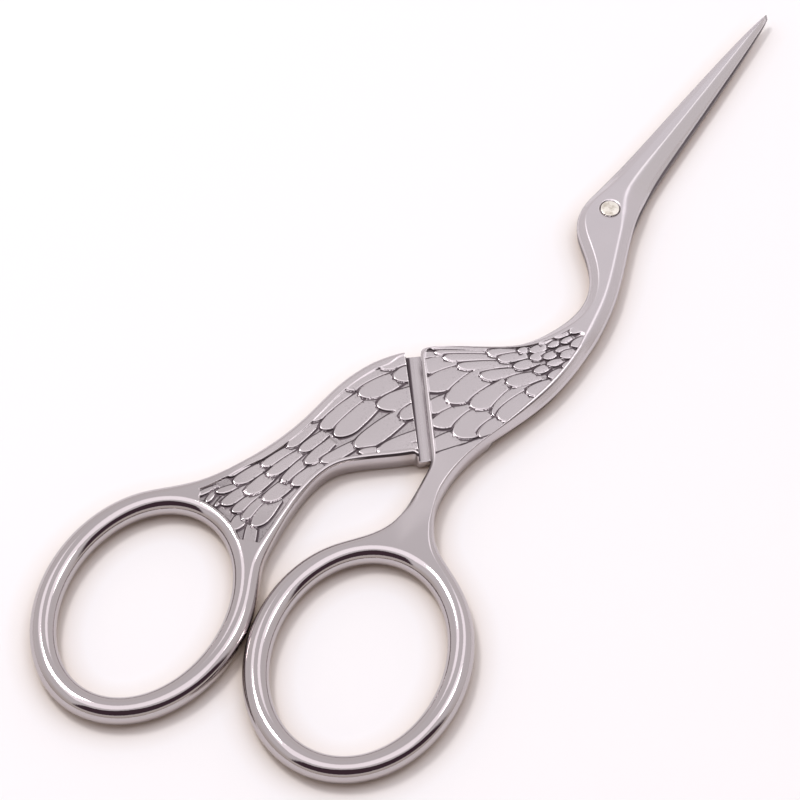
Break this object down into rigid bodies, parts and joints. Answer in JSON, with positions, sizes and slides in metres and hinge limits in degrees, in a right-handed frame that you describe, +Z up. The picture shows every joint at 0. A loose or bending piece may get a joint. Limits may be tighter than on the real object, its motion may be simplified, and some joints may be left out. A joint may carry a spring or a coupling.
{
  "type": "stork embroidery scissors",
  "caption": "Small steel embroidery scissors in the shape of a stork: feathered body, curved neck, long slender beak blades and oval finger rings, turning on a screw.",
  "frame": {"origin": "middle of the closed scissors' box, on the plane that they rest on", "axes": "+Y from the finger rings to the points of the blades, +Z up through the thickness, towards the half with the visible screw end"},
  "size_m": [0.0438, 0.115, 0.0027],
  "materials": {
    "polished_steel": "polished",
    "screw_steel": "polished"
  },
  "bodies": {
    "back_half": {"back_half": "polished_steel"},
    "front_half": {"front_half": "polished_steel", "pivot_screw": "screw_steel"}
  },
  "joints": [
    {"name": "pivot_hinge", "type": "hinge", "parent": "back_half", "child": "front_half", "pos_m": [0.00087, 0.02398, 0.0013], "axis": [0, 0, 1], "range_deg": [0, 90]}
  ]
}
